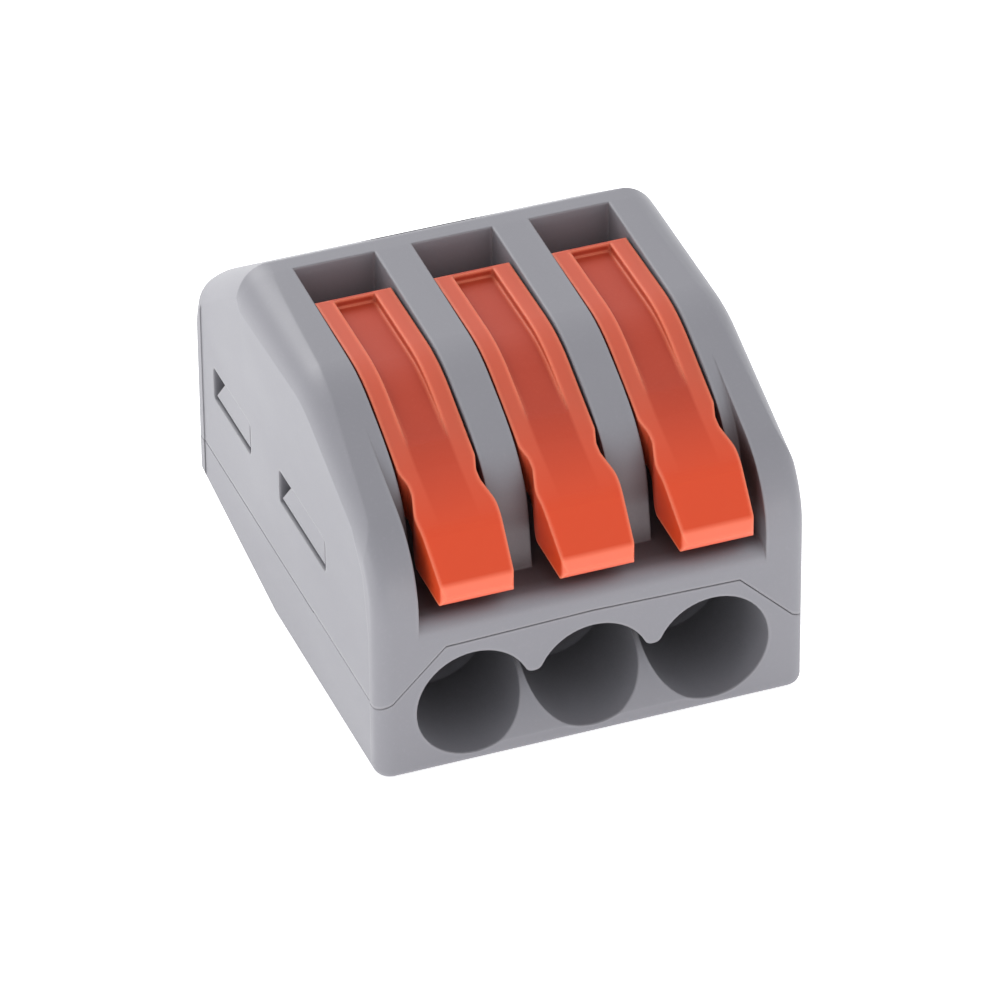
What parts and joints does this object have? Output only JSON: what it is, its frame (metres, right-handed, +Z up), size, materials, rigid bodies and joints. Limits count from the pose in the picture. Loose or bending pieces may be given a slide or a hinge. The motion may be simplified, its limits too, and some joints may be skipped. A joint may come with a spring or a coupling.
{
  "type": "lever wire connector",
  "caption": "Compact splicing connector: levers in a two-shell housing open caged clamps that press wire ends against a shared busbar.",
  "frame": {"origin": "middle of the bounding box's base, levers closed, on the resting face", "axes": "+X across the poles to the right as seen from the wire entries, +Y from the wire entries to the rear, +Z up"},
  "size_m": [0.018, 0.022, 0.0141],
  "materials": {
    "housing_grey": "fine satin moulded polyamide",
    "lever_orange": "satin moulded polyamide",
    "spring_steel": "rolled strip",
    "tinned_copper": "dull tin plate"
  },
  "bodies": {
    "housing": {"upper_housing": "housing_grey", "lower_housing": "housing_grey", "busbar": "tinned_copper"},
    "lever_left": {"lever_left": "lever_orange"},
    "lever_middle": {"lever_middle": "lever_orange"},
    "lever_right": {"lever_right": "lever_orange"},
    "clamp_spring_left": {"clamp_spring_left": "spring_steel"},
    "clamp_spring_middle": {"clamp_spring_middle": "spring_steel"},
    "clamp_spring_right": {"clamp_spring_right": "spring_steel"}
  },
  "joints": [
    {"name": "lever_left_hinge", "type": "hinge", "parent": "housing", "child": "lever_left", "pos_m": [-0.005, 0.00108, 0.0108], "axis": [-1, 0, 0], "range_deg": [0, 90]},
    {"name": "lever_middle_hinge", "type": "hinge", "parent": "housing", "child": "lever_middle", "pos_m": [0, 0.00108, 0.0108], "axis": [-1, 0, 0], "range_deg": [0, 90]},
    {"name": "lever_right_hinge", "type": "hinge", "parent": "housing", "child": "lever_right", "pos_m": [0.005, 0.00108, 0.0108], "axis": [-1, 0, 0], "range_deg": [0, 90]},
    {"name": "clamp_left_hinge", "type": "hinge", "parent": "housing", "child": "clamp_spring_left", "pos_m": [-0.005, 0.00517, 0.0069], "axis": [1, 0, 0], "range_deg": [0, 24.5]},
    {"name": "clamp_middle_hinge", "type": "hinge", "parent": "housing", "child": "clamp_spring_middle", "pos_m": [0, 0.00517, 0.0069], "axis": [1, 0, 0], "range_deg": [0, 24.5]},
    {"name": "clamp_right_hinge", "type": "hinge", "parent": "housing", "child": "clamp_spring_right", "pos_m": [0.005, 0.00517, 0.0069], "axis": [1, 0, 0], "range_deg": [0, 24.5]}
  ],
  "couplings": [
    {"joint": "clamp_left_hinge", "follows": "lever_left_hinge", "ratio": 0.26667},
    {"joint": "clamp_middle_hinge", "follows": "lever_middle_hinge", "ratio": 0.26667},
    {"joint": "clamp_right_hinge", "follows": "lever_right_hinge", "ratio": 0.26667}
  ]
}
